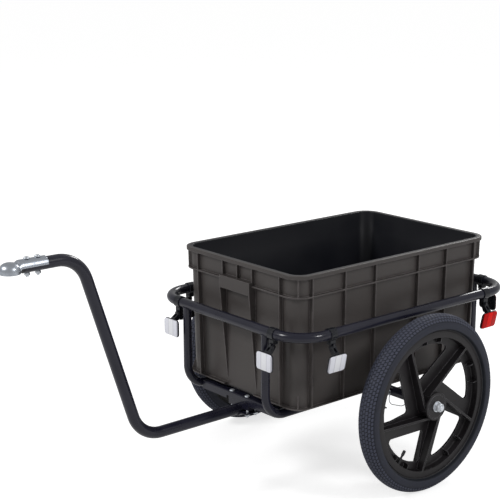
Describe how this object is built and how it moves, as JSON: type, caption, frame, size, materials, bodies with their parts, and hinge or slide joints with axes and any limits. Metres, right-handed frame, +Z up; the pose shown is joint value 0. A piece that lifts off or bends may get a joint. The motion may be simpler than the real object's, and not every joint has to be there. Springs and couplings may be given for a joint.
{
  "type": "scooter trailer",
  "caption": "Small cargo trailer with a bent drawbar, a cup coupling, spoked wheels and a lift-out plastic crate in a tube frame with reflectors.",
  "frame": {"origin": "middle of the trailer's outline on the ground, as it stands with its drawbar level", "axes": "+Z up; -Y forwards to the coupling; +X to the trailer's left side"},
  "size_m": [0.682, 1.2252, 0.6035],
  "materials": {
    "frame_paint": "black gloss",
    "plug_plastic": "satin",
    "coupling_zinc": "zinc plated",
    "bolt_zinc": "zinc plated",
    "axle_zinc": "zinc plated",
    "pin_zinc": "zinc plated",
    "bearing_steel": "ground",
    "wheel_plastic": "fine grain",
    "tyre_rubber": "matt rubber",
    "tube_rubber": "matt rubber",
    "crate_plastic": "satin",
    "reflector_plastic": "satin",
    "lens_white": "clear prismatic",
    "lens_red": "red prismatic"
  },
  "bodies": {
    "trailer": {"rim_tube": "frame_paint", "cross_tube": "frame_paint", "front_channel": "frame_paint", "upper_saddle": "frame_paint", "lower_saddle": "frame_paint", "drawbar_tube": "frame_paint", "drawbar_front_plug": "plug_plastic", "drawbar_rear_plug": "plug_plastic", "coupling_shell": "coupling_zinc", "saddle_bolt_1": "bolt_zinc", "saddle_bolt_2": "bolt_zinc", "saddle_bolt_3": "bolt_zinc", "saddle_bolt_4": "bolt_zinc", "coupling_bolt_1": "bolt_zinc", "coupling_bolt_2": "bolt_zinc", "rail_left_front": "frame_paint", "rail_left_rear": "frame_paint", "left_axle": "axle_zinc", "left_axle_nut": "axle_zinc", "rail_right_front": "frame_paint", "rail_right_rear": "frame_paint", "right_axle": "axle_zinc", "right_axle_nut": "axle_zinc", "front_left_bracket": "reflector_plastic", "front_right_bracket": "reflector_plastic", "left_front_bracket": "reflector_plastic", "left_rear_bracket": "reflector_plastic", "rear_left_bracket": "reflector_plastic", "rear_right_bracket": "reflector_plastic", "right_front_bracket": "reflector_plastic", "right_rear_bracket": "reflector_plastic"},
    "crate": {"crate": "crate_plastic"},
    "left_wheel_group": {"left_wheel": "wheel_plastic", "left_tyre": "tyre_rubber", "left_inner_tube": "tube_rubber", "left_bearings": "bearing_steel"},
    "left_pin": {"left_lock_pin": "pin_zinc"},
    "left_bow": {"left_lock_pin_bow": "pin_zinc"},
    "right_wheel_group": {"right_wheel": "wheel_plastic", "right_tyre": "tyre_rubber", "right_inner_tube": "tube_rubber", "right_bearings": "bearing_steel"},
    "right_pin": {"right_lock_pin": "pin_zinc"},
    "right_bow": {"right_lock_pin_bow": "pin_zinc"},
    "front_left_reflector": {"front_left_housing": "reflector_plastic", "front_left_lens": "lens_white"},
    "front_right_reflector": {"front_right_housing": "reflector_plastic", "front_right_lens": "lens_white"},
    "left_front_reflector": {"left_front_housing": "reflector_plastic", "left_front_lens": "lens_white"},
    "left_rear_reflector": {"left_rear_housing": "reflector_plastic", "left_rear_lens": "lens_red"},
    "rear_left_reflector": {"rear_left_housing": "reflector_plastic", "rear_left_lens": "lens_red"},
    "rear_right_reflector": {"rear_right_housing": "reflector_plastic", "rear_right_lens": "lens_red"},
    "right_front_reflector": {"right_front_housing": "reflector_plastic", "right_front_lens": "lens_white"},
    "right_rear_reflector": {"right_rear_housing": "reflector_plastic", "right_rear_lens": "lens_red"}
  },
  "joints": [
    {"name": "left_wheel_spin", "type": "hinge", "parent": "trailer", "child": "left_wheel_group", "pos_m": [0.297, 0.2499, 0.2], "axis": [1, 0, 0], "continuous": true},
    {"name": "right_wheel_spin", "type": "hinge", "parent": "trailer", "child": "right_wheel_group", "pos_m": [-0.297, 0.2499, 0.2], "axis": [1, 0, 0], "continuous": true},
    {"name": "crate_lift", "type": "slide", "parent": "trailer", "child": "crate", "axis": [0, 0, 1], "range_m": [0, 0.4]},
    {"name": "left_pin_pull", "type": "slide", "parent": "trailer", "child": "left_pin", "axis": [0, -1, 0], "range_m": [0, 0.07]},
    {"name": "left_bow_swing", "type": "hinge", "parent": "left_pin", "child": "left_bow", "pos_m": [0.194, 0.2341, 0.2], "axis": [1, 0, 0], "range_deg": [-160, 20]},
    {"name": "right_pin_pull", "type": "slide", "parent": "trailer", "child": "right_pin", "axis": [0, -1, 0], "range_m": [0, 0.07]},
    {"name": "right_bow_swing", "type": "hinge", "parent": "right_pin", "child": "right_bow", "pos_m": [-0.194, 0.2341, 0.2], "axis": [1, 0, 0], "range_deg": [-160, 20]},
    {"name": "front_left_reflector_tilt", "type": "hinge", "parent": "trailer", "child": "front_left_reflector", "pos_m": [0.16, -0.0791, 0.364], "axis": [1, 0, 0], "range_deg": [-25, 12]},
    {"name": "front_right_reflector_tilt", "type": "hinge", "parent": "trailer", "child": "front_right_reflector", "pos_m": [-0.16, -0.0791, 0.364], "axis": [1, 0, 0], "range_deg": [-25, 12]},
    {"name": "left_front_reflector_tilt", "type": "hinge", "parent": "trailer", "child": "left_front_reflector", "pos_m": [0.2435, 0.0144, 0.364], "axis": [0, 1, 0], "range_deg": [-37, 13]},
    {"name": "left_rear_reflector_tilt", "type": "hinge", "parent": "trailer", "child": "left_rear_reflector", "pos_m": [0.2435, 0.4964, 0.364], "axis": [0, 1, 0], "range_deg": [-37, 13]},
    {"name": "rear_left_reflector_tilt", "type": "hinge", "parent": "trailer", "child": "rear_left_reflector", "pos_m": [0.16, 0.5899, 0.364], "axis": [-1, 0, 0], "range_deg": [-25, 12]},
    {"name": "rear_right_reflector_tilt", "type": "hinge", "parent": "trailer", "child": "rear_right_reflector", "pos_m": [-0.16, 0.5899, 0.364], "axis": [-1, 0, 0], "range_deg": [-25, 12]},
    {"name": "right_front_reflector_tilt", "type": "hinge", "parent": "trailer", "child": "right_front_reflector", "pos_m": [-0.2435, 0.0144, 0.364], "axis": [0, -1, 0], "range_deg": [-37, 13]},
    {"name": "right_rear_reflector_tilt", "type": "hinge", "parent": "trailer", "child": "right_rear_reflector", "pos_m": [-0.2435, 0.4964, 0.364], "axis": [0, -1, 0], "range_deg": [-37, 13]}
  ]
}
